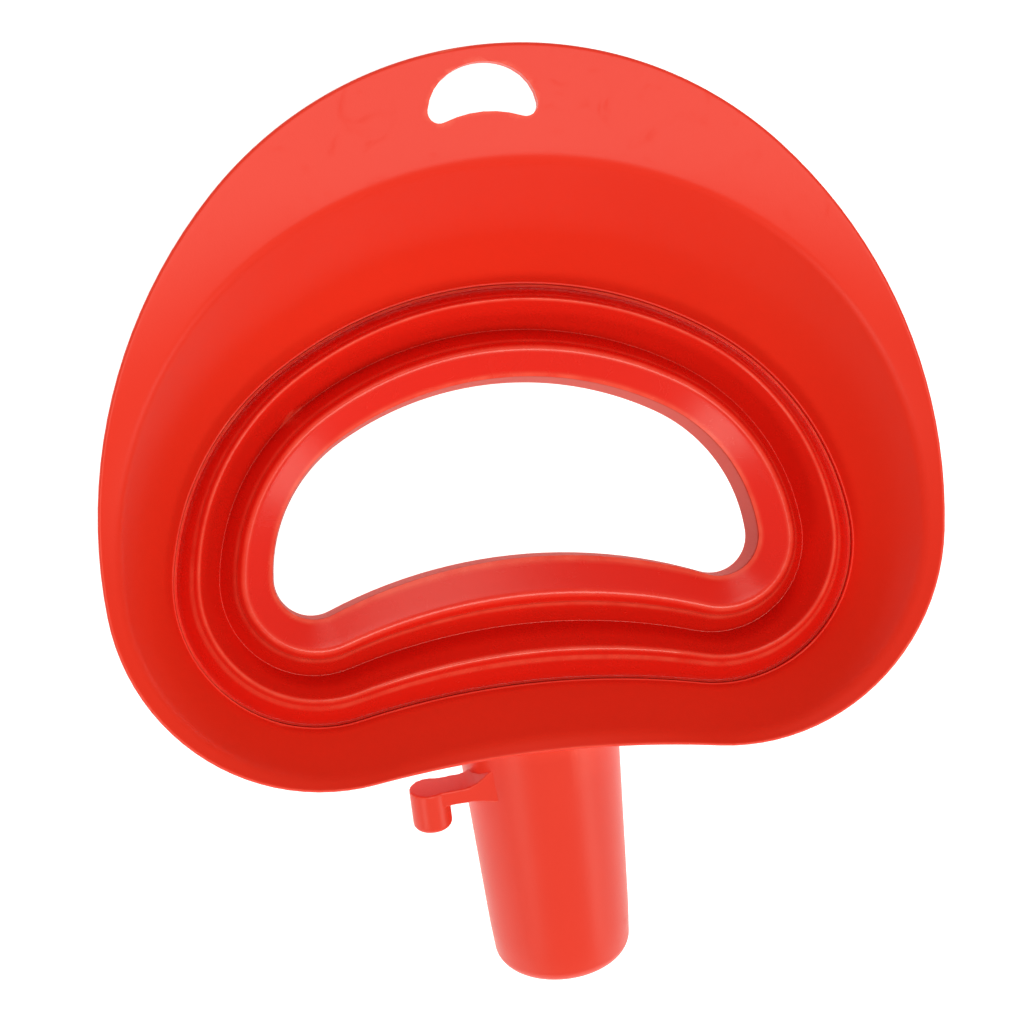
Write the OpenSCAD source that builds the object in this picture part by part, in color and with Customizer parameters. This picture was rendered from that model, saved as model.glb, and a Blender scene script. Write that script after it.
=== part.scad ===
// Collapsible bean-shaped funnel with a slanted grip and a rim hook.
// Millimetres, +Z up along the throat, origin at the centre of the throat's lower face.
// The front (-Y) carries the dent, the grip and the hook; the back (+Y) the wide rim.

/* [Rim] */
// Half of the overall width across the rim
rim_half_w = 80.4; // [79:0.2:84]
// Distance from the throat centre to the back edge of the rim
rim_back_y = 81.2; // [79:0.2:86]
// Distance from the throat centre to the lowest point of each front lobe
rim_lobe_y = 54; // [53:0.1:56]
// Distance from the throat centre to the rim's edge in the middle of the front dent
rim_dent_y = 51; // [49:0.1:52]
// Distance of each lobe's centre from the middle plane, along the rim
rim_lobe_x = 39.2; // [36:0.1:42]
// Radius of the rim's back, as a share of the half width
rim_back_round = 0.925; // [0.9:0.005:0.95]
// Radius of the rim's sides, as a share of the half width
rim_side_round = 1.19; // [1.15:0.01:1.3]
// Width of the wide rim at the back, where the hanging hole is
back_flange_w = 21.2; // [19:0.1:24]
// Width of the narrow rim at the sides
side_flange_w = 3.8; // [3.4:0.1:4.6]
// Width of the narrow rim at the front
front_flange_w = 2.4; // [2.2:0.1:3]
// Height of the rim's edge above the throat's lower face, above the throat centre
rim_z = 34.7; // [30:0.5:45]
// Angle of the mouth's plane: the back of the rim stands higher than the front
mouth_tilt = 9; // [4:0.5:11]
// How far the rim slopes down from its edge to the crease
rim_drop = 2.6; // [2:0.1:4]
// Wall thickness of the bowl
bowl_wall = 2.2; // [1.6:0.1:2.6]

/* [Hanging hole] */
// Half of the width of the hanging hole
hang_half_w = 10.4; // [9:0.1:12]
// Height of the hanging hole, from front to back
hang_h = 10.4; // [9.5:0.1:11.5]
// Distance of the hanging hole's middle from the rim's middle plane, towards -X
hang_offset = 1.8; // [0:0.1:3]
// Web of rim left between the hanging hole and the back edge
hang_margin = 3.2; // [2.5:0.1:5]

/* [Bellows] */
// Half of the width of the bowl's base, where the bellows is seated
seat_half_w = 67.5; // [65:0.1:70]
// Distance from the throat centre to the back of the bellows seat
seat_back_y = 40.1; // [38:0.1:43]
// Distance from the throat centre to the lowest point of each lobe of the seat
seat_lobe_y = 42.8; // [41:0.1:44.5]
// Distance from the throat centre to the seat in the middle of the front dent
seat_dent_y = 38.7; // [37:0.1:40]
// Distance of each lobe's centre from the middle plane, along the seat
seat_lobe_x = 39.3; // [37:0.1:41]
// Radius of the seat's back, as a share of its half width
seat_back_round = 1.155; // [1.1:0.01:1.25]
// Radius of the seat's sides, as a share of its half width
seat_side_round = 0.8; // [0.76:0.01:0.84]
// Height of the bellows seat above the throat's lower face
seat_z = 9; // [7:0.5:12]
// Depth of the ledge, which the bellows is seated on, below the seat's edge
ledge_drop = 1.8; // [1:0.1:2.5]
// Thickness of the soft bellows
bellows_t = 1.4; // [1.2:0.1:1.8]
// Height of both crests above the seat
crest_h = 5.5; // [4.5:0.5:8]
// Depth of the groove between the folds, below the seat
groove_drop = 6; // [4:0.5:7]

/* [Throat] */
// Half of the clear width of the throat
throat_half_w = 47.2; // [44:0.1:49]
// Clear distance from the throat centre to the back of the throat
throat_back_y = 20.8; // [19:0.1:23]
// Clear distance from the throat centre to the lowest point of each lobe of the throat
throat_lobe_y = 20.8; // [19:0.1:22]
// Clear distance from the throat centre to the middle of the front dent
throat_dent_y = 13.1; // [12:0.1:14.5]
// Distance of each lobe's centre from the middle plane, along the throat
throat_lobe_x = 39.9; // [37:0.1:41]
// Radius of the throat's back, as a share of its half width
throat_back_round = 1.335; // [1.28:0.005:1.45]
// Radius of the throat's sides, as a share of its half width
throat_side_round = 0.663; // [0.63:0.001:0.7]
// Height of the stiff collar round the throat
collar_h = 10; // [8:0.5:11]
// Wall thickness of the collar
collar_wall = 1.6; // [1.2:0.1:2]

/* [Grip] */
// Angle of the grip below the throat's plane
grip_tilt = 25; // [20:1:33]
// Angle of the grip towards +X
grip_yaw = 4; // [0:0.5:6]
// Length of the grip along its axis, from the bowl to its end
grip_len = 59.5; // [52:0.5:70]
// Radius of the grip where it meets the bowl
grip_root_r = 16.2; // [14:0.1:17]
// Radius of the grip at its end
grip_end_r = 13.6; // [11.5:0.1:14]
// Rounding of the end's outer edge
grip_round = 3.5; // [1:0.1:4]
// Radius of the pole socket in the grip
socket_r = 9.5; // [7:0.1:10.5]
// Depth of the pole socket in the grip
socket_depth = 42; // [30:0.5:45]

/* [Rim hook] */
// Radius of the hook's peg
peg_r = 3.8; // [3:0.1:4.5]
// Clear gap between the peg and the grip
hook_gap = 5.2; // [4.5:0.1:7]
// How far the peg stands out past the arm
peg_reach = 5.4; // [4.5:0.1:9]
// Thickness of the arm that carries the peg
arm_t = 3.1; // [2.4:0.1:4]
// Distance from the grip's root to the arm's outer face
hook_from_root = 15.8; // [14.5:0.1:20]
// Height of the peg's axis above the grip's axis, square to the grip
hook_rise = 7.3; // [5:0.1:9]

/* [Hidden] */
$fn = 64;

// Segments of each outline: half of the dent, one lobe, one side and half of the back
DENT_N = 6;
LOBE_N = 12;
SIDE_N = 9;
BACK_N = 16;
// Clear gap between pieces on different bodies
body_gap = 0.25;
// Overlap of a cutter past the face that it cuts
cut = 1;
// Edge rounding of the rim, and of the crease between rim and wall
edge_r = 0.7;
// Width of the bowl's ledge that the soft cuff is bonded to
ledge_w = 1.8;
// Width of the flat edge between the wall and the step down to the ledge
seat_edge = 0.3;
// Thickness of the ledge
ledge_t = 2.2;
// The lip of the collar is this much wider at its top
throat_draft = 0.7;
// Shares of the way from the seat to the throat: outer crest, groove and inner crest
outer_crest = 0.26;
// The outer crest is this much nearer to the seat at the back
outer_crest_back = 1.3;
groove = 0.465;
inner_crest = 0.68;

rim_colour = [0.96, 0.33, 0.24];
soft_colour = [0.89, 0.19, 0.11];
collar_colour = [0.80, 0.27, 0.21];

// An outline is [half width, lobe x, back y, lobe y, dent y, back radius, side radius],
// with the lobes and the dent on the negative side of the centre.
rim_back_r = rim_half_w * rim_back_round;
rim_side_r = rim_half_w * rim_side_round;
seat_back_r = seat_half_w * seat_back_round;
seat_side_r = seat_half_w * seat_side_round;
throat_back_r = throat_half_w * throat_back_round;
throat_side_r = throat_half_w * throat_side_round;
rim_line = [rim_half_w, rim_lobe_x, rim_back_y, -rim_lobe_y, -rim_dent_y, rim_back_r, rim_side_r];
crease_line = [rim_half_w - side_flange_w, rim_lobe_x - 1.2, rim_back_y - back_flange_w,
               -rim_lobe_y + front_flange_w, -rim_dent_y + front_flange_w + 0.6,
               rim_back_r + 13, rim_side_r - 26];
seat_line = [seat_half_w, seat_lobe_x, seat_back_y, -seat_lobe_y, -seat_dent_y,
             seat_back_r, seat_side_r];
throat_line = [throat_half_w, throat_lobe_x, throat_back_y, -throat_lobe_y, -throat_dent_y,
               throat_back_r, throat_side_r];

mouth_slope = tan(mouth_tilt);
crease_z = rim_z - rim_drop;
crest_z = seat_z + crest_h;
cuff_z = seat_z - ledge_drop;
ledge_z = cuff_z - ledge_t;
groove_z = seat_z - groove_drop;

// The outline moved out by d, and the outline a share f of the way from the seat to the throat.
function grow(line, d) = line + [d, 0, d, -d, -d, d, d];
function fold_line(f) = seat_line + (throat_line - seat_line) * f;
function crest_line(f, back) = fold_line(f) + [0, 0, back, 0, 0, 0, 0];

function arc(centre, r, from, to, n) =
    [for (i = [1:n]) let (a = from + (to - from) * i / n) centre + r * [cos(a), sin(a)]];

// The right half of the bean as tangent arcs, from the middle of the dent to the back.
function half_bean(line) = let (
        w = line[0], lobe_x = line[1], back_y = line[2], lobe_y = line[3], dent_y = line[4],
        back_r = line[5], side_r = line[6],
        way = back_r > side_r ? 1 : -1,
        back_c = [0, back_y - back_r],
        side_x = w - side_r,
        side_c = [side_x, back_c[1] + way * sqrt(pow(back_r - side_r, 2) - pow(side_x, 2))],
        ax = side_x - lobe_x,
        ay = side_c[1] - lobe_y,
        lobe_r = (pow(ax, 2) + pow(ay, 2) - pow(side_r, 2)) / (2 * (ay - side_r)),
        lobe_c = [lobe_x, lobe_y + lobe_r],
        k = lobe_c[1] - dent_y,
        dent_r = (pow(lobe_x, 2) + pow(k, 2) - pow(lobe_r, 2)) / (2 * (lobe_r - k)),
        dent_c = [0, dent_y - dent_r],
        to_back = way * (side_c - back_c),
        to_lobe = lobe_c - side_c,
        a_back = atan2(to_back[1], to_back[0]),
        a_side = atan2(to_lobe[1], to_lobe[0]),
        a_dent = atan2(lobe_c[1] - dent_c[1], lobe_x))
    concat(
        [[0, dent_y]],
        arc(dent_c, dent_r, 90, a_dent, DENT_N),
        arc(lobe_c, lobe_r, a_dent - 180, a_side, LOBE_N),
        arc(side_c, side_r, a_side, a_back, SIDE_N),
        arc(back_c, back_r, a_back, 90, BACK_N));

// The whole bean, counter-clockwise.
function bean(line) = let (half = half_bean(line), n = len(half))
    concat(half, [for (i = [n - 2:-1:1]) [-half[i][0], half[i][1]]]);

// An outline at a height, level or, with a slope, in a plane that rises towards the back.
function lift(corner) = let (slope = len(corner) > 2 ? corner[2] : 0)
    [for (p = bean(corner[0])) [p[0], p[1], corner[1] + slope * p[1]]];

function band_faces(n, m, closed) =
    [for (j = [0:m - (closed ? 1 : 2)]) for (i = [0:n - 1]) for (half = [0, 1]) let (
            a = j * n + i,
            b = j * n + (i + 1) % n,
            c = ((j + 1) % m) * n + (i + 1) % n,
            d = ((j + 1) % m) * n + i)
        half == 0 ? [a, c, b] : [a, d, c]];

// A closed ring. Its section's corners are outlines at heights, first over the top from
// outside to inside and then back underneath.
module ring(section) {
    rings = [for (corner = section) lift(corner)];
    polyhedron(points = [for (r = rings) each r],
               faces = band_faces(len(rings[0]), len(rings), true), convexity = 8);
}

// A filled body of stacked outlines, lowest first.
module stack(section) {
    rings = [for (corner = section) lift(corner)];
    m = len(rings);
    n = len(rings[0]);
    bottom = [for (i = [0:n - 1]) i];
    top = [for (i = [n - 1:-1:0]) (m - 1) * n + i];
    polyhedron(points = [for (r = rings) each r],
               faces = concat(band_faces(n, m, false), [bottom], [top]), convexity = 8);
}

// Outer skin of the bowl, from the bottom of its ledge to the edge of the rim.
foot_line = grow(seat_line, bowl_wall - 0.2);
skin = [
    [foot_line, ledge_z],
    [grow(crease_line, 0.2 * bowl_wall), crease_z - bowl_wall - 1.4, mouth_slope],
    [grow(rim_line, -edge_r), rim_z - bowl_wall, mouth_slope],
    [rim_line, rim_z - bowl_wall + edge_r, mouth_slope]
];

module hanging_hole() {
    hole_back = rim_back_y - hang_margin;
    hole_front = hole_back - hang_h;
    hole_line = [hang_half_w, hang_half_w - 2.3, hole_back, hole_front, hole_front + 1.5,
                 hang_half_w + 1.5, hang_half_w - 1.5];
    translate([-hang_offset, 0, rim_z + mouth_slope * hole_front - rim_drop - bowl_wall - cut])
        linear_extrude(height = rim_drop + bowl_wall + mouth_slope * hang_h + 3 * cut)
            polygon(bean(hole_line));
}

module bowl() {
    color(rim_colour)
    difference() {
        ring(concat(
            [
                [rim_line, rim_z - edge_r, mouth_slope],
                [grow(rim_line, -edge_r), rim_z, mouth_slope],
                [grow(crease_line, edge_r), crease_z + 0.2, mouth_slope],
                [grow(crease_line, -edge_r), crease_z - 1, mouth_slope],
                [grow(seat_line, 0.7), seat_z + 2],
                [seat_line, seat_z],
                [grow(seat_line, -seat_edge), seat_z],
                [grow(seat_line, -seat_edge), cuff_z],
                [grow(seat_line, -ledge_w), cuff_z],
                [grow(seat_line, -ledge_w), ledge_z]
            ],
            skin));
        hanging_hole();
    }
}

// A sloping band of the bellows between two outlines, as thick as the bellows.
module band(line_a, z_a, line_b, z_b) {
    ring([
        [line_a, z_a + bellows_t],
        [line_b, z_b + bellows_t],
        [line_b, z_b],
        [line_a, z_a]
    ]);
}

// A fold: its crest, at a share of the way, and a leg down to an inner outline.
module fold(crest, back, leg_line, leg_z, foot_line, foot_z) {
    ring([
        [crest_line(crest - 0.05, back), crest_z - 0.5],
        [crest_line(crest - 0.02, back), crest_z],
        [crest_line(crest + 0.02, back), crest_z],
        [crest_line(crest + 0.06, back), crest_z - 0.8],
        [leg_line, leg_z],
        [leg_line, foot_z],
        [foot_line, foot_z],
        [crest_line(crest + 0.02, back), crest_z - bellows_t - 0.4],
        [crest_line(crest - 0.05, back), crest_z - bellows_t - 0.4]
    ]);
}

// Soft cuff: the outer hem of the bellows, bonded on top of the bowl's ledge.
module bellows_cuff() {
    color(soft_colour)
    band(grow(seat_line, -seat_edge), cuff_z, grow(seat_line, -ledge_w), cuff_z);
}

module outer_web() {
    color(soft_colour)
    band(grow(seat_line, -ledge_w), cuff_z,
         grow(crest_line(outer_crest - 0.05, outer_crest_back), body_gap),
         crest_z - bellows_t - 0.5);
}

// Outer fold: its crest and the leg that goes down to the groove.
module outer_fold() {
    color(soft_colour)
    fold(outer_crest, outer_crest_back, fold_line(groove), groove_z + bellows_t,
         fold_line(groove - bellows_t / 20), groove_z);
}

module inner_web() {
    color(soft_colour)
    band(fold_line(groove), groove_z,
         grow(fold_line(inner_crest - 0.05), body_gap), crest_z - bellows_t - 0.5);
}

// Inner fold: its crest and the face that slopes down to the throat.
module inner_fold() {
    color(soft_colour)
    fold(inner_crest, 0, grow(throat_line, throat_draft), collar_h + 1,
         grow(throat_line, collar_wall + throat_draft), collar_h);
}

// Stiff collar that keeps the throat's shape, bonded under the inner fold's edge.
module throat_collar() {
    color(collar_colour)
    ring([
        [grow(throat_line, collar_wall + throat_draft), collar_h],
        [grow(throat_line, throat_draft), collar_h],
        [throat_line, 0],
        [grow(throat_line, collar_wall), 0]
    ]);
}

// Places its children in the grip's own frame: +Z along the axis to the end, +Y upwards.
grip_root_y = seat_dent_y + 1.1;
grip_root_z = seat_z + 3;
module at_grip() {
    translate([0, -grip_root_y, grip_root_z]) rotate([90 + grip_tilt, 0, grip_yaw]) children();
}

function grip_r(z) = grip_root_r + (grip_end_r - grip_root_r) * z / grip_len;
// How far the bowl's plug, which cuts the grip off, reaches above the rim
plug_above = 12;
// Length of the grip behind its root, where the bowl cuts it off
grip_back = 4;

module grip_body() {
    corner = grip_end_r - grip_round;
    rotate_extrude($fn = 96)
        polygon(concat(
            [[0, -grip_back], [grip_r(-grip_back), -grip_back]],
            [for (a = [0:15:90]) [corner + grip_round * cos(a), grip_len - grip_round * (1 - sin(a))]],
            [[0, grip_len]]));
}

module handle_grip() {
    color(rim_colour)
    difference() {
        at_grip() difference() {
            grip_body();
            translate([0, 0, grip_len - socket_depth]) cylinder(r = socket_r, h = socket_depth + cut);
        }
        stack(concat([[foot_line, -40]], skin, [[rim_line, rim_z + plug_above, mouth_slope]]));
    }
}

hook_z = hook_from_root;
hook_x = sqrt(pow(grip_r(hook_z) + hook_gap + peg_r, 2) - pow(hook_rise, 2));
module rim_hook() {
    color(rim_colour)
    at_grip() difference() {
        union() {
            translate([-hook_x, hook_rise, hook_z - arm_t]) cylinder(r = peg_r, h = arm_t + peg_reach);
            translate([-hook_x, hook_rise - 0.85 * peg_r, hook_z - arm_t])
                cube([hook_x, 1.7 * peg_r, arm_t]);
        }
        grip_body();
    }
}

bowl();
bellows_cuff();
outer_web();
outer_fold();
inner_web();
inner_fold();
throat_collar();
handle_grip();
rim_hook();
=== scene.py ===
"""Visual model of a collapsible bean-shaped funnel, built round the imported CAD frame."""
import logging
import math
from dataclasses import dataclass, field, replace
from enum import Enum

import bmesh
import bpy
from mathutils import Matrix, Vector


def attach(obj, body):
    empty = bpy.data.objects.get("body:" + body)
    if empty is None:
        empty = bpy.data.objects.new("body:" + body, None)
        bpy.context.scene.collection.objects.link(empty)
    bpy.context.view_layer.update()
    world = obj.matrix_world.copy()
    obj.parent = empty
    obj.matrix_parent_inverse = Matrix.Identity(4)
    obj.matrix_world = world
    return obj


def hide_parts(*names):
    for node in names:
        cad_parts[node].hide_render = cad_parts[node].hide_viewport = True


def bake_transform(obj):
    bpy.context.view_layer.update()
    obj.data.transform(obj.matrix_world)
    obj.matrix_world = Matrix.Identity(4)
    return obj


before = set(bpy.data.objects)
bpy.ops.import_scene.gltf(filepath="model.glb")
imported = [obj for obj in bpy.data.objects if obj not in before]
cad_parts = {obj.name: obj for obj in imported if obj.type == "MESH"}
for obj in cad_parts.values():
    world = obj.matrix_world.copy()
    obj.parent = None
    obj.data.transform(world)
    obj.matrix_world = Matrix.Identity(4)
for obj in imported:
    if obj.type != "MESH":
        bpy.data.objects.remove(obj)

LOG = logging.getLogger("funnel")
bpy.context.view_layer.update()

Point = tuple[float, float, float]
Rgb = tuple[float, float, float]
Counts = tuple[int, int, int, int]
Shares = tuple[float, ...]
FINE: Counts = (12, 24, 20, 32)
COARSE: Counts = (3, 7, 4, 8)


class Closing(Enum):
    """How a loft of outlines is closed."""

    TUBE = "the last outline is joined to the first"
    CAPS = "the first and last outlines are filled"


class Kind(Enum):
    """Kinds of plastic, by the scale of their grain and its height in metres."""

    STIFF = (2600.0, 0.00002)
    SOFT = (3200.0, 0.000012)


# ---------------------------------------------------------------- geometry


@dataclass(frozen=True)
class Outline:
    """A bean outline of tangent arcs, with its dent and lobes towards -Y.

    Attributes:
        half_w: Half of the outline's width.
        lobe_x: Distance of each lobe's centre from the middle plane.
        back_y: Place of the back edge.
        lobe_y: Place of the lobes' lowest points.
        dent_y: Place of the dent's middle.
        back_r: Radius of the back.
        side_r: Radius of the sides.
    """

    half_w: float
    lobe_x: float
    back_y: float
    lobe_y: float
    dent_y: float
    back_r: float
    side_r: float

    def grown(self, d: float) -> "Outline":
        """Return the parallel outline at a distance d outside this one."""
        return Outline(
            self.half_w + d, self.lobe_x, self.back_y + d, self.lobe_y - d,
            self.dent_y - d, self.back_r + d, self.side_r + d)

    def towards(self, other: "Outline", share: float) -> "Outline":
        """Return the outline a share of the way to another one.

        Args:
            other: The outline at share 1.
            share: 0 for this outline and 1 for the other.

        Returns:
            The outline between them.
        """
        mine, theirs = vars(self).values(), vars(other).values()
        return Outline(*(a + (b - a) * share for a, b in zip(mine, theirs)))

    def points(self, counts: Counts = FINE) -> list[Vector]:
        """Trace the outline counter-clockwise from the middle of the dent.

        Args:
            counts: Segments of half the dent, a lobe, a side and half the back.

        Returns:
            The points, in a plane.
        """
        way = 1 if self.back_r > self.side_r else -1
        back_c = Vector((0, self.back_y - self.back_r))
        side_x = self.half_w - self.side_r
        rise = math.sqrt((self.back_r - self.side_r) ** 2 - side_x ** 2)
        side_c = Vector((side_x, back_c.y + way * rise))
        ax, ay = side_x - self.lobe_x, side_c.y - self.lobe_y
        lobe_r = (ax ** 2 + ay ** 2 - self.side_r ** 2) / (2 * (ay - self.side_r))
        lobe_c = Vector((self.lobe_x, self.lobe_y + lobe_r))
        k = lobe_c.y - self.dent_y
        dent_r = (self.lobe_x ** 2 + k ** 2 - lobe_r ** 2) / (2 * (lobe_r - k))
        dent_c = Vector((0, self.dent_y - dent_r))
        to_back, to_lobe = way * (side_c - back_c), lobe_c - side_c
        a_back = math.atan2(to_back.y, to_back.x)
        a_side = math.atan2(to_lobe.y, to_lobe.x)
        a_dent = math.atan2(lobe_c.y - dent_c.y, self.lobe_x)
        quarter = math.pi / 2
        half = [Vector((0, self.dent_y))]
        for centre, radius, start, stop, count in (
                (dent_c, dent_r, quarter, a_dent, counts[0]),
                (lobe_c, lobe_r, a_dent - math.pi, a_side, counts[1]),
                (side_c, self.side_r, a_side, a_back, counts[2]),
                (back_c, self.back_r, a_back, quarter, counts[3])):
            for i in range(1, count + 1):
                a = start + (stop - start) * i / count
                half.append(centre + radius * Vector((math.cos(a), math.sin(a))))
        return half + [Vector((-p.x, p.y)) for p in half[-2:0:-1]]


@dataclass(frozen=True)
class Station:
    """One corner of a loft's section: an outline at a height.

    Attributes:
        line: The outline.
        z: Its height, at y = 0 where it slopes.
        slope: How much it rises per unit of y.
        soft: Radius of the rounding of this corner of the section.
    """

    line: Outline
    z: float
    slope: float = 0.0
    soft: float = 0.0

    def ring(self) -> list[Vector]:
        """Return the outline's points in space."""
        return [Vector((p.x, p.y, self.z + self.slope * p.y)) for p in self.line.points()]


def select_none() -> None:
    """Deselect every object and leave edit mode."""
    if bpy.context.object and bpy.context.object.mode != "OBJECT":
        bpy.ops.object.mode_set(mode="OBJECT")
    bpy.ops.object.select_all(action="DESELECT")


def activate(obj: bpy.types.Object) -> None:
    """Make one object the only selected and active one."""
    select_none()
    obj.select_set(True)
    bpy.context.view_layer.objects.active = obj


def modify(obj: bpy.types.Object, kind: str, **values: object) -> None:
    """Add a modifier, set it and apply it.

    Args:
        obj: The object to change.
        kind: Blender's name of the modifier type.
        **values: The modifier's settings.
    """
    activate(obj)
    modifier = obj.modifiers.new(kind.title(), kind)
    for key, value in values.items():
        setattr(modifier, key, value)
    bpy.ops.object.modifier_apply(modifier=modifier.name)


def shade(obj: bpy.types.Object, degrees: float = 40.0) -> None:
    """Shade an object smooth up to an angle."""
    activate(obj)
    bpy.ops.object.shade_smooth_by_angle(angle=math.radians(degrees))


def rounded(corners: list[Vector], soft: list[float], closed: bool, steps: int) -> list[Vector]:
    """Round the corners of one line of a section.

    Args:
        corners: The section's corners on this line.
        soft: The radius of each corner.
        closed: Whether the line returns to its start.
        steps: Segments of each rounding.

    Returns:
        The same number of points whatever the corners' places.
    """
    out = []
    last = len(corners) - 1
    for i, corner in enumerate(corners):
        if soft[i] <= 0 or (not closed and i in (0, last)):
            out.append(corner.copy())
            continue
        before, after = corners[i - 1] - corner, corners[(i + 1) % len(corners)] - corner
        reach_a = min(soft[i], 0.45 * before.length)
        reach_b = min(soft[i], 0.45 * after.length)
        a = corner + before.normalized() * reach_a
        b = corner + after.normalized() * reach_b
        for s in range(steps + 1):
            t = s / steps
            out.append(a * (1 - t) ** 2 + corner * 2 * t * (1 - t) + b * t ** 2)
    return out


@dataclass
class Loft:
    """A body lofted through outlines that all have the same number of points.

    Attributes:
        name: Name of the made object.
        closing: How the loft is closed.
        steps: Segments of each rounded corner.
        spacing: Longest stretch between two rings.
    """

    name: str
    closing: Closing = Closing.TUBE
    steps: int = 5
    spacing: float = 0.0013

    def sections(self, stations: list[Station]) -> list[list[Vector]]:
        """Work out the loft's rings, with its soft corners rounded.

        Args:
            stations: The section's corners.

        Returns:
            One list of points for each ring.
        """
        rings = [s.ring() for s in stations]
        soft = [s.soft for s in stations]
        closed = self.closing is Closing.TUBE
        lines = [rounded(list(line), soft, closed, self.steps) for line in zip(*rings)]
        return self.filled([list(ring) for ring in zip(*lines)], closed)

    def filled(self, rings: list[list[Vector]], closed: bool) -> list[list[Vector]]:
        """Add rings where neighbouring ones are far apart.

        Args:
            rings: The rings.
            closed: Whether the last ring is joined to the first.

        Returns:
            The rings with the new ones between them.
        """
        out = []
        for i, ring in enumerate(rings):
            out.append(ring)
            if i + 1 == len(rings) and not closed:
                break
            following = rings[(i + 1) % len(rings)]
            far = max((b - a).length for a, b in zip(ring, following))
            for part in range(1, count := math.ceil(far / self.spacing)):
                out.append([a.lerp(b, part / count) for a, b in zip(ring, following)])
        return out

    def build(self, stations: list[Station]) -> bpy.types.Object:
        """Make the loft from a circle that is extruded from ring to ring.

        Args:
            stations: The section's corners, first over the top from outside to inside.

        Returns:
            The closed mesh object.
        """
        return self.build_rings(self.sections(stations))

    def build_rings(self, rings: list[list[Vector]]) -> bpy.types.Object:
        """Extrude a circle through rings of points.

        Args:
            rings: The rings, each with the same number of points.

        Returns:
            The closed mesh object.
        """
        select_none()
        bpy.ops.mesh.primitive_circle_add(vertices=len(rings[0]), radius=1.0)
        obj = bpy.context.object
        obj.name = obj.data.name = self.name
        bpy.ops.object.mode_set(mode="EDIT")
        mesh = bmesh.from_edit_mesh(obj.data)
        place = mesh.verts.layers.int.new("place")
        for i, vert in enumerate(mesh.verts):
            vert[place] = i
        self._move(obj, rings[0])
        path = rings[1:] + ([rings[0]] if self.closing is Closing.TUBE else [])
        for ring in path:
            bpy.ops.mesh.extrude_edges_move()
            self._move(obj, ring)
        bpy.ops.mesh.select_all(action="SELECT")
        bpy.ops.mesh.remove_doubles(threshold=1e-7)
        if self.closing is Closing.CAPS:
            bpy.ops.mesh.select_all(action="DESELECT")
            bpy.ops.mesh.select_non_manifold()
            bpy.ops.mesh.edge_face_add()
            bpy.ops.mesh.select_all(action="SELECT")
        bpy.ops.mesh.normals_make_consistent(inside=False)
        bpy.ops.object.mode_set(mode="OBJECT")
        obj.data.attributes.remove(obj.data.attributes["place"])
        return obj

    def _move(self, obj: bpy.types.Object, ring: list[Vector]) -> None:
        """Put the selected points of the mesh on a ring, each by its place number."""
        mesh = bmesh.from_edit_mesh(obj.data)
        place = mesh.verts.layers.int["place"]
        for vert in mesh.verts:
            if vert.select:
                vert.co = ring[vert[place]]
        bmesh.update_edit_mesh(obj.data)


# ---------------------------------------------------------------- finishes


class Nodes:
    """A small helper that adds and links the nodes of one tree."""

    def __init__(self, tree: bpy.types.NodeTree) -> None:
        """Remember the tree."""
        self.tree = tree

    def add(self, kind: str, **values: object) -> bpy.types.Node:
        """Add a node.

        Args:
            kind: The node's type name.
            **values: Properties, or socket defaults by the socket's name with _ for a space.

        Returns:
            The node.
        """
        node = self.tree.nodes.new(kind)
        for key, value in values.items():
            if hasattr(node, key):
                setattr(node, key, value)
            else:
                node.inputs[key.replace("_", " ")].default_value = value
        return node

    def link(self, out: bpy.types.NodeSocket, into: bpy.types.NodeSocket) -> None:
        """Join two sockets."""
        self.tree.links.new(out, into)


@dataclass(frozen=True)
class GrainGroup:
    """Shader group of moulded grain: fine texture, slow waviness and small scuffs.

    Attributes:
        name: Name of the node group.
    """

    name: str = "moulded_grain"

    def tree(self) -> bpy.types.NodeTree:
        """Return the group, made at its first use."""
        found = bpy.data.node_groups.get(self.name)
        return found or self._make()

    def _make(self) -> bpy.types.NodeTree:
        """Build the group's nodes."""
        tree = bpy.data.node_groups.new(self.name, "ShaderNodeTree")
        sockets = (
            ("Grain scale", "INPUT", 2600.0), ("Scuff scale", "INPUT", 120.0),
            ("Waviness", "INPUT", 0.3), ("Height", "OUTPUT", 0.0),
            ("Tone", "OUTPUT", 0.0), ("Scuffs", "OUTPUT", 0.0))
        for name, way, value in sockets:
            socket = tree.interface.new_socket(name, in_out=way, socket_type="NodeSocketFloat")
            socket.default_value = value
        n = Nodes(tree)
        given, out = n.add("NodeGroupInput"), n.add("NodeGroupOutput")
        where = n.add("ShaderNodeTexCoord").outputs["Object"]
        fine = n.add("ShaderNodeTexNoise", Detail=3.0, Roughness=0.6)
        slow = n.add("ShaderNodeTexNoise", Scale=38.0, Detail=2.0)
        tone = n.add("ShaderNodeTexNoise", Scale=14.0, Detail=4.0, Roughness=0.55)
        scuff = n.add("ShaderNodeTexNoise", Detail=6.0, Roughness=0.7, Distortion=1.6)
        n.link(given.outputs["Grain scale"], fine.inputs["Scale"])
        n.link(given.outputs["Scuff scale"], scuff.inputs["Scale"])
        for texture in (fine, slow, tone, scuff):
            n.link(where, texture.inputs["Vector"])
        swell = n.add("ShaderNodeMath", operation="MULTIPLY")
        n.link(slow.outputs["Fac"], swell.inputs[0])
        n.link(given.outputs["Waviness"], swell.inputs[1])
        height = n.add("ShaderNodeMath", operation="ADD")
        n.link(fine.outputs["Fac"], height.inputs[0])
        n.link(swell.outputs[0], height.inputs[1])
        n.link(height.outputs[0], out.inputs["Height"])
        n.link(tone.outputs["Fac"], out.inputs["Tone"])
        mask = n.add("ShaderNodeMapRange", From_Min=0.58, From_Max=0.8)
        n.link(scuff.outputs["Fac"], mask.inputs["Value"])
        n.link(mask.outputs["Result"], out.inputs["Scuffs"])
        return tree


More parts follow.
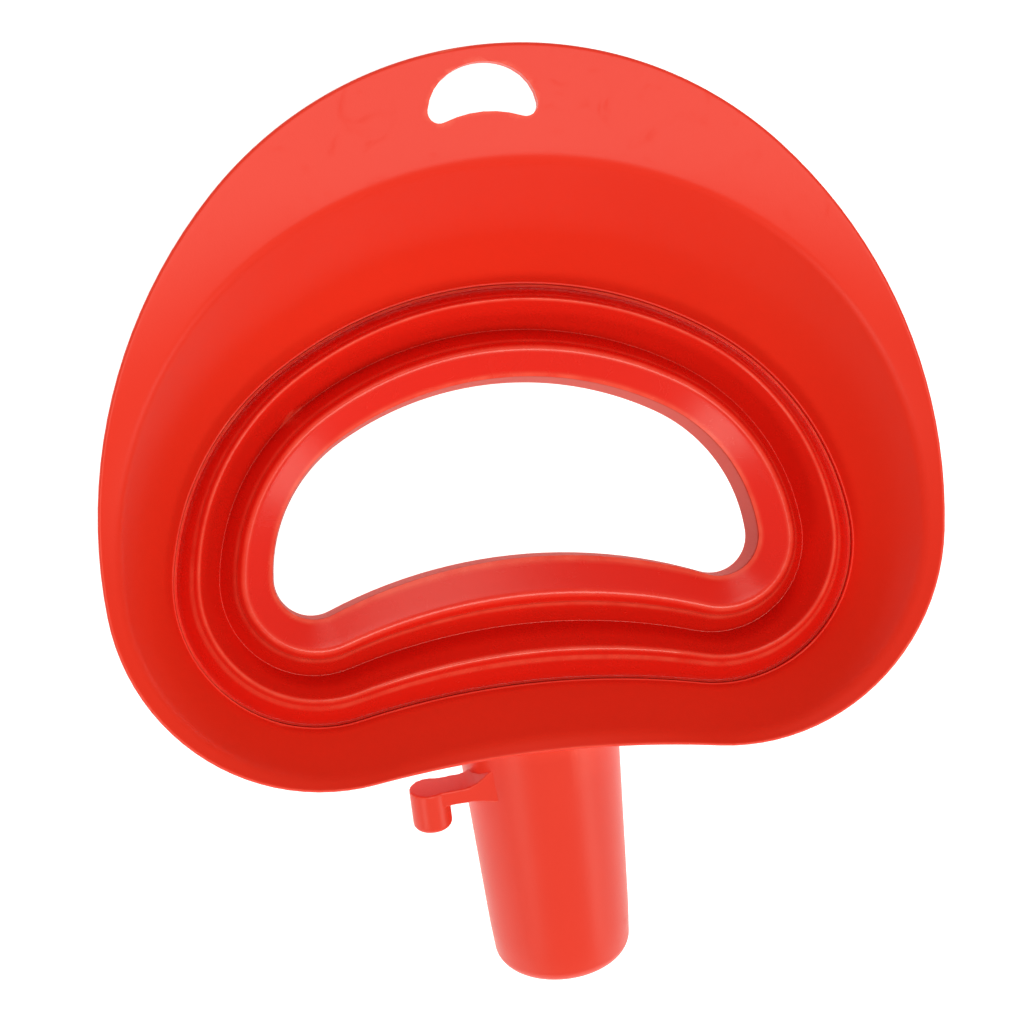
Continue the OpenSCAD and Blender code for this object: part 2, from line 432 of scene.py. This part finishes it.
@dataclass(frozen=True)
class EdgeWearHighlightGroup:
    """Shader group that masks convex edges in patches: edge wear together with a painted highlight
    along crests.

    Attributes:
        name: Name of the node group.
    """

    name: str = "edge_rub_and_highlight"

    def tree(self) -> bpy.types.NodeTree:
        """Return the group, made at its first use."""
        found = bpy.data.node_groups.get(self.name)
        return found or self._make()

    def _make(self) -> bpy.types.NodeTree:
        """Build the group's nodes."""
        tree = bpy.data.node_groups.new(self.name, "ShaderNodeTree")
        socket = tree.interface.new_socket("Amount", in_out="INPUT", socket_type="NodeSocketFloat")
        socket.default_value = 1.0
        tree.interface.new_socket("Mask", in_out="OUTPUT", socket_type="NodeSocketFloat")
        n = Nodes(tree)
        given, out = n.add("NodeGroupInput"), n.add("NodeGroupOutput")
        shape = n.add("ShaderNodeNewGeometry")
        # Pointiness picks out convex edges, the crests above all, for edge wear and the painted
        # highlight.
        convex = n.add("ShaderNodeMapRange", From_Min=0.512, From_Max=0.55)
        patchy = n.add("ShaderNodeTexNoise", Scale=260.0, Detail=3.0)
        where = n.add("ShaderNodeTexCoord").outputs["Object"]
        product = n.add("ShaderNodeMath", operation="MULTIPLY")
        scaled = n.add("ShaderNodeMath", operation="MULTIPLY")
        n.link(shape.outputs["Pointiness"], convex.inputs["Value"])
        n.link(where, patchy.inputs["Vector"])
        n.link(convex.outputs["Result"], product.inputs[0])
        n.link(patchy.outputs["Fac"], product.inputs[1])
        n.link(product.outputs[0], scaled.inputs[0])
        n.link(given.outputs["Amount"], scaled.inputs[1])
        n.link(scaled.outputs[0], out.inputs["Mask"])
        return tree


@dataclass(frozen=True)
class Finish:
    """A moulded plastic finish.

    Attributes:
        name: Name of the material.
        kind: What the plastic is.
        colour: Its colour, linear.
        deep: The colour of its slightly darker patches, linear.
        rub_and_highlight: The lighter colour of its convex edges, linear: edge wear and a painted
            highlight.
        roughness: Roughness of the clean surface.
        specular: Specular level of the surface.
    """

    name: str
    kind: Kind
    colour: Rgb
    deep: Rgb
    rub_and_highlight: Rgb
    roughness: float
    specular: float

    def material(self) -> bpy.types.Material:
        """Return the material, made at its first use."""
        found = bpy.data.materials.get(self.name)
        return found or self._make()

    def _make(self) -> bpy.types.Material:
        """Build the material's nodes."""
        made = bpy.data.materials.new(self.name)
        made.use_nodes = True
        made.diffuse_color = (*self.colour, 1.0)
        scale, height = self.kind.value
        n = Nodes(made.node_tree)
        skin = made.node_tree.nodes["Principled BSDF"]
        skin.inputs["Specular IOR Level"].default_value = self.specular
        grain = n.add("ShaderNodeGroup")
        grain.node_tree = GrainGroup().tree()
        grain.inputs["Grain scale"].default_value = scale
        # Convex edges turn to a lighter colour in patches: edge wear and a painted highlight along
        # crests.
        rub_highlight_mask = n.add("ShaderNodeGroup")
        rub_highlight_mask.node_tree = EdgeWearHighlightGroup().tree()
        tone = n.add("ShaderNodeMapRange", From_Min=0.3, From_Max=0.7)
        body = n.add("ShaderNodeMix", data_type="RGBA")
        rub_highlight_mix = n.add("ShaderNodeMix", data_type="RGBA")
        gloss = n.add("ShaderNodeMapRange", To_Min=self.roughness, To_Max=self.roughness + 0.14)
        bump = n.add("ShaderNodeBump", Strength=1.0, Distance=height)
        body.inputs[6].default_value = (*self.colour, 1.0)
        body.inputs[7].default_value = (*self.deep, 1.0)
        rub_highlight_mix.inputs[7].default_value = (*self.rub_and_highlight, 1.0)
        n.link(grain.outputs["Tone"], tone.inputs["Value"])
        n.link(tone.outputs["Result"], body.inputs[0])
        n.link(body.outputs[2], rub_highlight_mix.inputs[6])
        n.link(rub_highlight_mask.outputs["Mask"], rub_highlight_mix.inputs[0])
        n.link(rub_highlight_mix.outputs[2], skin.inputs["Base Color"])
        n.link(grain.outputs["Scuffs"], gloss.inputs["Value"])
        n.link(gloss.outputs["Result"], skin.inputs["Roughness"])
        n.link(grain.outputs["Height"], bump.inputs["Height"])
        n.link(bump.outputs["Normal"], skin.inputs["Normal"])
        return made


@dataclass(frozen=True)
class Palette:
    """The funnel's finishes."""

    # The third colour of each finish is the lighter one of convex edges: edge wear and a painted
    # highlight.
    shell: Finish = Finish(
        "satin_shell", Kind.STIFF, (0.85, 0.036, 0.014), (0.82, 0.032, 0.013),
        (0.92, 0.12, 0.07), roughness=0.38, specular=0.22)
    soft: Finish = Finish(
        "satin_bellows", Kind.SOFT, (0.82, 0.022, 0.010), (0.78, 0.019, 0.009),
        (0.95, 0.14, 0.08), roughness=0.27, specular=0.33)
    grip: Finish = Finish(
        "satin_grip", Kind.STIFF, (0.80, 0.048, 0.024), (0.76, 0.043, 0.021),
        (0.92, 0.13, 0.08), roughness=0.36, specular=0.3)
    collar: Finish = Finish(
        "satin_collar", Kind.STIFF, (0.62, 0.070, 0.050), (0.56, 0.060, 0.042),
        (0.72, 0.14, 0.10), roughness=0.6, specular=0.12)


# ---------------------------------------------------------------- the funnel


@dataclass
class Part:
    """A sub-assembly of the funnel.

    Attributes:
        finishes: The funnel's finishes.
    """

    finishes: Palette

    def dress(self, obj: bpy.types.Object, finish: Finish, slot: str, *nodes: str,
              body: str | None = None, smooth: float = 40.0) -> bpy.types.Object:
        """Shade a piece, give it its finish and set it in the frame.

        Args:
            obj: The piece.
            finish: Its finish.
            slot: The record's material slot; not used.
            *nodes: The CAD nodes that it stands for.
            body: The CAD body that it rides on, if it is on one only.
            smooth: Angle up to which it is shaded smooth, in degrees.

        Returns:
            The piece.
        """
        shade(obj, smooth)
        obj.data.materials.clear()
        obj.data.materials.append(finish.material())
        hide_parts(*nodes)
        if body:
            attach(obj, body)
        LOG.info("%s: %d points", obj.name, len(obj.data.vertices))
        return obj


@dataclass(frozen=True)
class Lines:
    """The funnel's outlines and heights, in metres.

    Attributes:
        rim: The outer edge of the mouth.
        seat: The foot of the wall, where the bellows starts.
        throat: The inside of the collar.
        flange_back: Width of the rim at the back.
        flange_side: Width of the rim at the sides.
        flange_front: Width of the rim at the front.
        rim_z: Height of the rim at y = 0.
        mouth_slope: Rise of the mouth per unit of y.
        rim_drop: How far the rim falls from its edge to the wall.
        seat_z: Height of the wall's foot.
        crest_z: Height of the bellows' crests.
        groove_z: Height of the groove's underside.
        collar_z: Height of the collar's top.
        wall: Thickness of the bowl.
        ledge_w: Width of the ledge inside the foot.
        ledge_t: Thickness of the ledge.
        ledge_drop: How far the ledge is below the foot.
        seat_edge: Width of the foot's narrow edge.
        soft_t: Thickness of the bellows.
        edge_in: How far the rim's edge is rounded inwards.
    """

    rim: Outline = Outline(0.0804, 0.0392, 0.0812, -0.0540, -0.0510, 0.0744, 0.0957)
    seat: Outline = Outline(0.0675, 0.0393, 0.0401, -0.0428, -0.0387, 0.0780, 0.0540)
    throat: Outline = Outline(0.0472, 0.0399, 0.0208, -0.0208, -0.0131, 0.0630, 0.0313)
    flange_back: float = 0.0212
    flange_side: float = 0.0038
    flange_front: float = 0.0024
    rim_z: float = 0.0347
    mouth_slope: float = math.tan(math.radians(9))
    rim_drop: float = 0.0026
    seat_z: float = 0.009
    crest_z: float = 0.0145
    groove_z: float = 0.003
    collar_z: float = 0.010
    wall: float = 0.0022
    ledge_w: float = 0.0018
    ledge_t: float = 0.0022
    ledge_drop: float = 0.0018
    seat_edge: float = 0.0003
    soft_t: float = 0.0014
    edge_in: float = 0.0004

    @property
    def crease(self) -> Outline:
        """The outline where the rim turns down into the wall."""
        r = self.rim
        return Outline(
            r.half_w - self.flange_side, r.lobe_x - 0.0012, r.back_y - self.flange_back,
            r.lobe_y + self.flange_front, r.dent_y + self.flange_front + 0.0006,
            r.back_r + 0.013, r.side_r - 0.026)

    @property
    def cuff_z(self) -> float:
        """The height of the ledge that the bellows is seated on."""
        return self.seat_z - self.ledge_drop

    def fold(self, share: float, back: float = 0.0) -> Outline:
        """Return the outline a share of the way from the seat to the throat.

        Args:
            share: 0 at the seat and 1 at the throat.
            back: How much further back the outline's back lies.

        Returns:
            The outline.
        """
        line = self.seat.towards(self.throat, share)
        return replace(line, back_y=line.back_y + back)


@dataclass
class Bowl(Part):
    """The rigid bowl: rim, wall, the ledge in its base and the hanging hole.

    Attributes:
        lines: The funnel's outlines.
        hole_half_w: Half of the hole's width.
        hole_h: Height of the hole, from front to back.
        hole_margin: Rim left between the hole and the back edge.
        hole_shift: Distance of the hole's middle from the middle plane, towards -X.
        hole_corner: Size of the hole's two front corners.
        hole_sag: How far the hole's front edge bulges into it.
        foot_out: Distance of the outer skin's foot outside the seat.
        neck_out: Distance of the outer skin outside the crease.
        neck_drop: Depth of the outer skin's bend below the crease.
        edge_h: Height of the rounding of the rim's edge.
        edge_soft: Rounding of the rim's edge.
        seam_soft: Rounding of the narrow edge at the wall's foot.
    """

    lines: Lines = field(default_factory=Lines)
    hole_half_w: float = 0.0104
    hole_h: float = 0.0104
    hole_margin: float = 0.0032
    hole_shift: float = 0.0018
    hole_corner: float = 0.0023
    hole_sag: float = 0.0015
    foot_out: float = 0.002
    neck_out: float = 0.0005
    neck_drop: float = 0.0036
    edge_h: float = 0.0009
    edge_soft: float = 0.0006
    seam_soft: float = 0.00012

    def skin(self, inset: float = 0.0) -> list[Station]:
        """List the corners of the bowl's outer skin, from its foot to the rim.

        Args:
            inset: How far inside the real skin the corners lie.

        Returns:
            The corners, lowest first.
        """
        ln = self.lines
        lip = ln.rim_z - ln.wall
        return [
            Station(ln.seat.grown(self.foot_out - inset), ln.cuff_z - ln.ledge_t, soft=0.0008),
            Station(ln.crease.grown(self.neck_out - inset), ln.rim_z - ln.rim_drop - self.neck_drop,
                    ln.mouth_slope, soft=0.004),
            Station(ln.rim.grown(-ln.edge_in - inset), lip, ln.mouth_slope, soft=self.edge_soft)]

    def build(self) -> bpy.types.Object:
        """Make the bowl and dress it."""
        ln = self.lines
        low, high = ln.cuff_z - ln.ledge_t, ln.rim_z
        inside = ln.seat.grown(-ln.ledge_w)
        inner = [
            Station(ln.rim, high - self.edge_h, ln.mouth_slope, soft=self.edge_soft),
            Station(ln.rim.grown(-ln.edge_in), high, ln.mouth_slope, soft=self.edge_soft),
            Station(ln.crease, high - ln.rim_drop, ln.mouth_slope, soft=0.0015),
            Station(ln.seat.grown(0.0006), ln.seat_z + 0.0014, soft=0.0012),
            Station(ln.seat, ln.seat_z, soft=self.seam_soft),
            Station(ln.seat.grown(-ln.seat_edge), ln.seat_z, soft=self.seam_soft),
            Station(ln.seat.grown(-ln.seat_edge), ln.cuff_z),
            Station(inside, ln.cuff_z),
            Station(inside, low)]
        obj = Loft("bowl_shell", steps=6).build(inner + self.skin())
        self.cut_hole(obj)
        return self.dress(obj, self.finishes.shell, "shell_plastic", "bowl", body="bowl")

    def cut_hole(self, obj: bpy.types.Object) -> None:
        """Cut the hanging hole.

        Args:
            obj: The bowl.
        """
        ln, w = self.lines, self.hole_half_w
        back = ln.rim.back_y - self.hole_margin
        front = back - self.hole_h
        sag = self.hole_sag
        shape = Outline(w, w - self.hole_corner, back, front, front + sag, w + sag, w - sag)
        middle, reach = ln.rim_z + ln.mouth_slope * front, 0.012
        cutter = Loft("hole_cutter", Closing.CAPS).build_rings([
            [Vector((p.x - self.hole_shift, p.y, z)) for p in shape.points(COARSE)]
            for z in (middle - reach, middle + reach)])
        modify(obj, "BOOLEAN", object=cutter, operation="DIFFERENCE", solver="EXACT")
        bpy.data.objects.remove(cutter)
        activate(obj)
        bpy.ops.object.mode_set(mode="EDIT")
        bpy.ops.mesh.select_all(action="SELECT")
        bpy.ops.mesh.dissolve_degenerate(threshold=0.000005)
        bpy.ops.object.mode_set(mode="OBJECT")


@dataclass
class Bellows(Part):
    """The soft bellows: a cuff on the bowl's ledge, two webs and two folds.

    Attributes:
        lines: The funnel's outlines.
        outer_crest: Share of the way from the seat to the throat of the outer crest.
        crest_back: The outer crest is this much nearer to the seat at the back.
        groove: The same of the groove's middle.
        inner_crest: The same of the inner crest.
        crest_soft: Rounding of the crests.
        crest_up: How far the crests' corners lie above the crests' height.
        crest_t: Thickness of the bellows below the crests.
        gap: Room between the cuff and the wall's foot.
        outer_parts: Where the outer web has corners; at the last one it meets its fold.
        inner_parts: The same of the inner web.
    """

    lines: Lines = field(default_factory=Lines)
    outer_crest: float = 0.26
    crest_back: float = 0.0013
    groove: float = 0.465
    inner_crest: float = 0.675
    crest_soft: float = 0.0015
    crest_up: float = 0.0006
    crest_t: float = 0.0020
    gap: float = 0.0004
    outer_parts: Shares = (0.3, 0.4, 0.5, 0.6, 0.7)
    inner_parts: Shares = (0.25, 0.3, 0.4, 0.5, 0.6, 0.7)

    def between(self, a: Station, b: Station, shares: Shares) -> list[Station]:
        """List extra corners on the straight line between two corners.

        Args:
            a: The corner at share 0.
            b: The corner at share 1.
            shares: Where the new corners lie.

        Returns:
            The new corners.
        """
        return [Station(a.line.towards(b.line, s), a.z + (b.z - a.z) * s) for s in shares]

    def top(self) -> tuple[Station, ...]:
        """List the corners of the upper face, from the cuff to the throat."""
        ln, t = self.lines, self.lines.soft_t
        crest = ln.crest_z + self.crest_up
        return (
            Station(ln.seat.grown(-self.gap), ln.cuff_z + 0.0004, soft=0.0001),
            Station(ln.seat.grown(-0.0009), ln.cuff_z + 0.0001, soft=0.0002),
            Station(ln.fold(self.outer_crest, self.crest_back), crest, soft=self.crest_soft),
            Station(ln.fold(self.groove - 0.002), ln.groove_z + t),
            Station(ln.fold(self.groove + 0.002), ln.groove_z + t),
            Station(ln.fold(self.inner_crest), crest, soft=self.crest_soft),
            Station(ln.throat.grown(0.0007), ln.collar_z + 0.0010, soft=0.0004))

    def under(self) -> tuple[Station, ...]:
        """List the corners of the lower face, from the cuff to the throat."""
        ln = self.lines
        crest = ln.crest_z - self.crest_t
        return (
            Station(ln.seat.grown(-self.gap), ln.cuff_z),
            Station(ln.seat.grown(-0.0026), ln.cuff_z - 0.0004, soft=0.0008),
            Station(ln.fold(self.outer_crest, self.crest_back), crest, soft=0.0006),
            Station(ln.fold(self.groove - 0.05), ln.groove_z, soft=0.0008),
            Station(ln.fold(self.groove + 0.05), ln.groove_z, soft=0.0008),
            Station(ln.fold(self.inner_crest), crest, soft=0.0006),
            Station(ln.throat.grown(0.0023), ln.collar_z))

    def piece(self, name: str, upper: list[Station], lower: list[Station]) -> bpy.types.Object:
        """Make one ring of the bellows.

        Args:
            name: Its name.
            upper: Corners of its upper face, outside first.
            lower: Corners of its lower face, outside first.

        Returns:
            The closed mesh object.
        """
        loft = Loft(name, Closing.CAPS)
        rings = loft.sections(upper) + loft.sections(lower)[::-1]
        return Loft(name).build_rings(rings)

    def build(self) -> None:
        """Make the four rings of the bellows and dress them."""
        cuff, valley, crest_o, groove_o, groove_i, crest_i, lip = self.top()
        cuff_u, valley_u, crest_ou, groove_ou, groove_iu, crest_iu, lip_u = self.under()
        web_o = self.between(valley, crest_o, self.outer_parts)
        web_ou = self.between(valley_u, crest_ou, self.outer_parts)
        floor = self.between(groove_o, groove_i, (0.5,))
        floor_u = self.between(groove_ou, groove_iu, (0.5,))
        web_i = self.between(groove_i, crest_i, self.inner_parts)
        web_iu = self.between(groove_iu, crest_iu, self.inner_parts)
        outer_web = self.piece(
            "bellows_outer_web", [cuff, valley, *web_o], [cuff_u, valley_u, *web_ou])
        outer_fold = self.piece(
            "bellows_outer_fold", [web_o[-1], crest_o, groove_o, *floor],
            [web_ou[-1], crest_ou, groove_ou, *floor_u])
        inner_web = self.piece(
            "bellows_inner_web", [*floor, groove_i, *web_i], [*floor_u, groove_iu, *web_iu])
        inner_fold = self.piece(
            "bellows_inner_fold", [web_i[-1], crest_i, lip], [web_iu[-1], crest_iu, lip_u])
        soft, slot = self.finishes.soft, "soft_bellows"
        self.dress(outer_web, soft, slot, "bellows_cuff", "outer_web")
        self.dress(outer_fold, soft, slot, "outer_fold", body="outer_ring")
        self.dress(inner_web, soft, slot, "inner_web")
        self.dress(inner_fold, soft, slot, "inner_fold", body="throat")
        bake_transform(outer_web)
        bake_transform(inner_web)


@dataclass
class Collar(Part):
    """The stiff collar round the throat.

    Attributes:
        lines: The funnel's outlines.
        wall: Thickness of its wall.
        draft: How much wider its top is.
    """

    lines: Lines = field(default_factory=Lines)
    wall: float = 0.0016
    draft: float = 0.0007

    def build(self) -> bpy.types.Object:
        """Make the collar and dress it."""
        line, top = self.lines.throat, self.lines.collar_z
        obj = Loft("throat_lip", steps=4).build([
            Station(line.grown(self.wall + self.draft), top, soft=0.0002),
            Station(line.grown(self.draft), top, soft=0.0002),
            Station(line, 0.0, soft=0.0006),
            Station(line.grown(self.wall), 0.0, soft=0.0006)])
        return self.dress(
            obj, self.finishes.collar, "collar_plastic", "throat_collar", body="throat")


@dataclass
class GripFrame:
    """Where the grip is and how it is turned.

    Attributes:
        lines: The funnel's outlines.
        tilt: Angle below the throat's plane, in degrees.
        yaw: Angle towards +X, in degrees.
        length: Length along the axis.
        root_r: Radius where it meets the bowl.
        end_r: Radius at its end.
    """

    lines: Lines = field(default_factory=Lines)
    tilt: float = 25.0
    yaw: float = 4.0
    length: float = 0.05945
    root_r: float = 0.0162
    end_r: float = 0.0136

    def radius(self, z: float) -> float:
        """Return the grip's radius at a distance from its root."""
        return self.root_r + (self.end_r - self.root_r) * z / self.length

    def matrix(self) -> Matrix:
        """Return the turn and place of the grip's frame: +Z to its end and +Y upwards."""
        root = Vector((0, self.lines.seat.dent_y - 0.0011, self.lines.seat_z + 0.003))
        turn = (Matrix.Rotation(math.radians(self.yaw), 4, "Z")
                @ Matrix.Rotation(math.radians(90 + self.tilt), 4, "X"))
        return Matrix.Translation(root) @ turn

    def circle(self, radius: float, z: float, x: float = 0.0, y: float = 0.0,
               count: int = 96) -> list[Vector]:
        """Return a circle square to the grip's axis.

        Args:
            radius: Its radius.
            z: Its distance from the root.
            x: Its centre, across.
            y: Its centre, upwards.
            count: Number of points.

        Returns:
            The points, in the row frame.
        """
        place = self.matrix()
        angles = [2 * math.pi * i / count for i in range(count)]
        return [place @ Vector((x + radius * math.cos(a), y + radius * math.sin(a), z))
                for a in angles]


@dataclass
class Grip(Part):
    """The slanted round grip with its pole socket.

    Attributes:
        bowl: The bowl that the grip stands on.
        at: The grip's frame.
        end_round: Rounding of the end's outer edge.
        socket_r: Radius of the socket.
        socket_depth: Depth of the socket.
        sink: How far the root goes into the bowl's wall.
    """

    bowl: Bowl
    at: GripFrame = field(default_factory=GripFrame)
    end_round: float = 0.0035
    socket_r: float = 0.0095
    socket_depth: float = 0.042
    sink: float = 0.0008

    def build(self) -> bpy.types.Object:
        """Make the grip and dress it."""
        at, end, mouth = self.at, self.at.length, 0.0005
        rings = [at.circle(at.radius(z), z) for z in (-0.004, 0.0, 0.004, 0.01, 0.02, 0.035, 0.05)]
        corner = at.end_r - self.end_round
        for i in range(1, 11):
            a = math.pi / 2 * i / 10
            rings.append(at.circle(
                corner + self.end_round * math.cos(a) if i < 10 else corner,
                end - self.end_round * (1 - math.sin(a))))
        rings.append(at.circle(self.socket_r + mouth, end))
        rings.append(at.circle(self.socket_r + 0.3 * mouth, end - 0.3 * mouth))
        rings.append(at.circle(self.socket_r, end - mouth))
        rings.append(at.circle(self.socket_r, end - self.socket_depth + mouth))
        rings.append(at.circle(self.socket_r - mouth, end - self.socket_depth))
        obj = Loft("grip_body", Closing.CAPS).build_rings(rings)
        skin = self.bowl.skin(inset=self.sink)
        foot = replace(skin[0], z=-0.05)
        above = replace(skin[-1], z=skin[-1].z + 0.01)
        plug = Loft("bowl_plug", Closing.CAPS).build([foot, *skin, above])
        modify(obj, "BOOLEAN", object=plug, operation="DIFFERENCE", solver="EXACT")
        bpy.data.objects.remove(plug)
        return self.dress(obj, self.finishes.grip, "shell_plastic", "handle_grip", body="bowl")


@dataclass
class RimHook(Part):
    """The hook on the grip's left side: an arm with a peg.

    Attributes:
        at: The grip's frame.
        peg_r: Radius of the peg.
        gap: Clear gap between the peg and the grip.
        reach: How far the peg stands out past the arm.
        arm_t: Thickness of the arm.
        from_root: Distance from the grip's root to the arm's outer face.
        rise: Height of the peg's axis above the grip's axis.
        voxel: Grid size of the remeshing that makes its fillets.
    """

    at: GripFrame = field(default_factory=GripFrame)
    peg_r: float = 0.0038
    gap: float = 0.0052
    reach: float = 0.0054
    arm_t: float = 0.0031
    from_root: float = 0.0158
    rise: float = 0.0073
    voxel: float = 0.00022

    def build(self) -> bpy.types.Object:
        """Make the hook and dress it."""
        at, z = self.at, self.from_root
        out = at.radius(z) + self.gap + self.peg_r
        x = -math.sqrt(out ** 2 - self.rise ** 2)
        peg = self.peg(x, z)
        arm = self.arm(x, z)
        activate(peg)
        arm.select_set(True)
        bpy.ops.object.join()
        modify(peg, "REMESH", mode="VOXEL", voxel_size=self.voxel)
        modify(peg, "SMOOTH", factor=0.5, iterations=4)
        peg.name = peg.data.name = "rim_hook_arm"
        return self.dress(
            peg, self.finishes.grip, "shell_plastic", "rim_hook", body="bowl", smooth=60)

    def peg(self, x: float, z: float) -> bpy.types.Object:
        """Make the peg, with a domed end.

        Args:
            x: Its axis, across.
            z: Distance of the arm's outer face from the root.

        Returns:
            The peg.
        """
        r, top = self.peg_r, z + self.reach
        dome = 0.0012
        rings = [self.at.circle(r, s, x, self.rise, 48)
                 for s in (z - self.arm_t, z, top - dome)]
        for i in range(1, 6):
            a = math.pi / 2 * i / 6
            rings.append(self.at.circle(
                r - dome * (1 - math.cos(a)), top - dome * (1 - math.sin(a)), x, self.rise, 48))
        return Loft("peg", Closing.CAPS).build_rings(rings)

    def arm(self, x: float, z: float) -> bpy.types.Object:
        """Make the arm from the peg into the grip, flared at the grip.

        Args:
            x: The peg's axis, across.
            z: Distance of the arm's outer face from the root.

        Returns:
            The arm.
        """
        place, half_w = self.at.matrix(), 0.85 * self.peg_r
        flank = -math.sqrt(self.at.radius(z) ** 2 - self.rise ** 2)
        sides = ((x, 0.0), (flank - 0.0032, 0.0), (flank - 0.0020, 0.0002),
                 (flank - 0.0008, 0.0007), (flank + 0.0005, 0.0016),
                 (flank + 0.0020, 0.0029), (flank + 0.0050, 0.0044))
        rings = []
        for across, flare in sides:
            lo, hi = z - self.arm_t - flare, z + 0.2 * flare
            a, b = self.rise - half_w - flare, self.rise + half_w + 0.2 * flare
            rings.append([place @ Vector((across, y, s)) for y, s in (
                (a, lo), (b, lo), (b, hi), (a, hi))])
        return Loft("arm", Closing.CAPS).build_rings(rings)


@dataclass(frozen=True)
class Lamp:
    """A square soft light that faces the funnel.

    Attributes:
        name: Its name.
        place: Where it stands.
        size: Length of its sides.
        power: Its power, in watts.
        colour: Its colour.
    """

    name: str
    place: Point
    size: float
    power: float
    colour: Rgb = (1.0, 0.92, 0.80)

    def build(self, aim: Point) -> None:
        """Add the lamp and point it at a place.

        Args:
            aim: The place that it lights.
        """
        select_none()
        bpy.ops.object.light_add(type="AREA", location=self.place)
        lamp = bpy.context.object
        lamp.name = self.name
        lamp.data.shape, lamp.data.size, lamp.data.energy = "SQUARE", self.size, self.power
        lamp.data.color = self.colour
        away = Vector(self.place) - Vector(aim)
        lamp.rotation_euler = away.to_track_quat("Z", "Y").to_euler()


@dataclass
class Studio:
    """Floor, lights and camera.

    Attributes:
        floor_z: Height of the floor.
        aim: Where the camera looks.
        lean: Angle of the camera from straight above, towards -X, in degrees.
        pitch: Angle of the camera from straight above, towards +Y, in degrees.
        roll: Turn of the picture, in degrees.
        distance: Distance of the camera from the aim.
        lens: Focal length, in millimetres.
        surround: Strength of the light from all round.
        floor_glow: Strength of the light from the floor.
        lamps: The soft lights.
    """

    floor_z: float = -0.16
    aim: Point = (-0.00014, -0.00476, 0.010)
    lean: float = 6.924
    pitch: float = -0.246
    roll: float = 6.028
    distance: float = 0.62
    lens: float = 111.8
    surround: float = 0.3
    floor_glow: float = 0.55
    lamps: tuple[Lamp, ...] = (
        Lamp("top", (0.28, -0.80, 2.3), 1.1, 33.0),
        Lamp("right", (1.67, -1.28, 0.57), 0.7, 7.5),
        Lamp("left", (-1.35, -1.45, 0.9), 0.7, 9.0),
        Lamp("back", (-0.2, 1.8, 1.5), 0.9, 9.0))

    def build(self) -> None:
        """Make the floor, the lights and the camera."""
        self.floor()
        self.world()
        for lamp in self.lamps:
            lamp.build(self.aim)
        self.camera()
        view = bpy.context.scene.view_settings
        view.view_transform = "Standard"

    def floor(self) -> None:
        """Make the plain pale floor."""
        select_none()
        bpy.ops.mesh.primitive_plane_add(size=6.0, location=(0, 0, self.floor_z))
        obj = bpy.context.object
        obj.name = "floor"
        paint = bpy.data.materials.new("floor_paint")
        paint.use_nodes = True
        skin = paint.node_tree.nodes["Principled BSDF"]
        skin.inputs["Base Color"].default_value = (0.93, 0.93, 0.93, 1.0)
        skin.inputs["Roughness"].default_value = 0.9
        skin.inputs["Specular IOR Level"].default_value = 0.1
        skin.inputs["Emission Color"].default_value = (1.0, 1.0, 1.0, 1.0)
        skin.inputs["Emission Strength"].default_value = self.floor_glow
        obj.data.materials.append(paint)

    def world(self) -> None:
        """Light everything evenly from a white surround."""
        world = bpy.data.worlds.new("surround")
        world.use_nodes = True
        sky = world.node_tree.nodes["Background"]
        sky.inputs["Color"].default_value = (1.0, 1.0, 1.0, 1.0)
        sky.inputs["Strength"].default_value = self.surround
        bpy.context.scene.world = world

    def camera(self) -> None:
        """Place the camera above the funnel, a little to the left and turned."""
        back = Vector((-math.tan(math.radians(self.lean)),
                       math.tan(math.radians(self.pitch)), 1.0)).normalized()
        right = (-back).cross(Vector((0, 1, 0))).normalized()
        up = right.cross(-back)
        turn = math.radians(self.roll)
        across = right * math.cos(turn) - up * math.sin(turn)
        upward = right * math.sin(turn) + up * math.cos(turn)
        select_none()
        bpy.ops.object.camera_add()
        cam = bpy.context.object
        cam.matrix_world = Matrix.LocRotScale(
            Vector(self.aim) + back * self.distance,
            Matrix((across, upward, back)).transposed(), None)
        cam.data.lens, cam.data.sensor_width = self.lens, 36.0
        cam.data.clip_start, cam.data.clip_end = 0.01, 20.0
        bpy.context.scene.camera = cam


def main() -> None:
    """Build the funnel, its floor, lights and camera."""
    logging.basicConfig(level=logging.INFO, format="%(name)s: %(message)s")
    finishes = Palette()
    bowl = Bowl(finishes)
    bowl.build()
    Bellows(finishes).build()
    Collar(finishes).build()
    Grip(finishes, bowl).build()
    RimHook(finishes).build()
    Studio().build()


if __name__ == "__main__":
    main()
